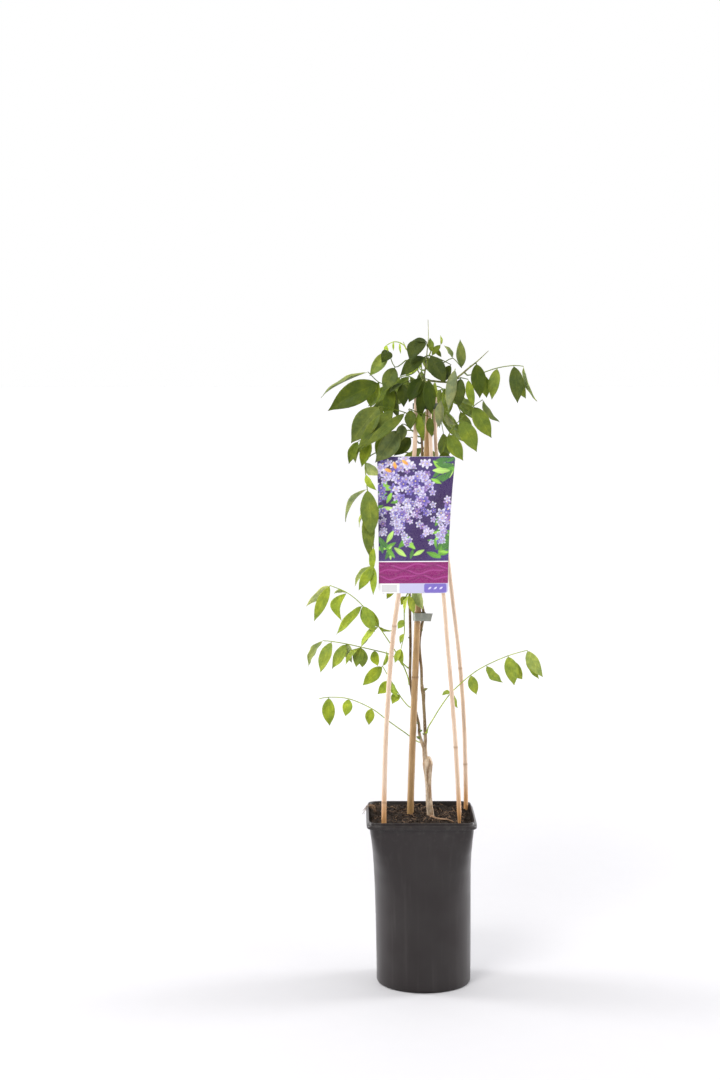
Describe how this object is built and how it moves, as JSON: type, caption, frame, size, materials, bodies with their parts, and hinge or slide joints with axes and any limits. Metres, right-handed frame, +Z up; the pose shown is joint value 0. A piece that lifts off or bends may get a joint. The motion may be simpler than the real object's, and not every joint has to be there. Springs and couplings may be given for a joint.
{
  "type": "potted climbing plant",
  "caption": "Young wisteria with compound leaves, trained up bamboo canes in a deep black nursery pot, with a hanging flower-picture label.",
  "frame": {"origin": "middle of the pot's flat base, on the surface it stands on", "axes": "+Z up along the pot's axis, -Y the front, where the plant label hangs"},
  "size_m": [0.2957, 0.2155, 0.8281],
  "materials": {
    "pot_plastic": "satin, slightly scuffed",
    "potting_soil": "rough, fibrous, damp",
    "brown_bamboo": "satin",
    "pale_bamboo": "satin",
    "clip_plastic": "satin",
    "tie_tape": "satin",
    "label_card": "printed, semi-gloss",
    "tie_wire": "satin",
    "bark": "rough",
    "leaf_green": "soft, thin leaf",
    "young_leaf_green": "soft, thin young leaf"
  },
  "bodies": {
    "root": {"pot": "pot_plastic", "soil": "potting_soil", "cane_main": "brown_bamboo", "cane_left": "pale_bamboo", "cane_front_right": "pale_bamboo", "cane_back_right": "pale_bamboo", "cane_clip": "clip_plastic", "tape_tie": "tie_tape", "label": "label_card", "label_tie": "tie_wire", "vine": "bark", "leaf_low_left": "leaf_green", "leaf_low_right": "leaf_green", "leaf_mid_left": "leaf_green", "leaf_row_left": "leaf_green", "leaf_under_left": "leaf_green", "leaf_hanging_small": "leaf_green", "leaf_cane_front": "leaf_green", "leaf_pale_back": "leaf_green", "leaf_below_label": "leaf_green", "leaf_label_side": "leaf_green", "leaf_big_left": "leaf_green", "leaf_broad_left": "leaf_green", "leaf_spray_left": "leaf_green", "leaf_grey_corner": "leaf_green", "leaf_dark_inner": "leaf_green", "leaf_upper_left": "leaf_green", "shoot_tip_left": "young_leaf_green", "leaf_mid_crown": "leaf_green", "leaf_top": "leaf_green", "leaf_top_dark": "leaf_green", "shoot_tip_top": "young_leaf_green", "leaf_top_right": "leaf_green", "leaf_far_right": "leaf_green", "leaf_right_dark": "leaf_green", "leaf_right_pair": "leaf_green", "leaf_right_ladder": "leaf_green", "leaf_grey_right": "leaf_green", "leaf_grey_cane": "leaf_green", "leaf_heart": "leaf_green", "leaf_low_crown": "leaf_green", "shoot_tip_pale": "young_leaf_green", "leaf_back_1": "leaf_green", "leaf_back_2": "leaf_green", "leaf_back_3": "leaf_green", "leaf_back_4": "leaf_green", "leaf_back_5": "leaf_green", "leaf_back_6": "leaf_green", "leaf_back_7": "leaf_green", "leaf_back_8": "leaf_green"}
  },
  "joints": []
}
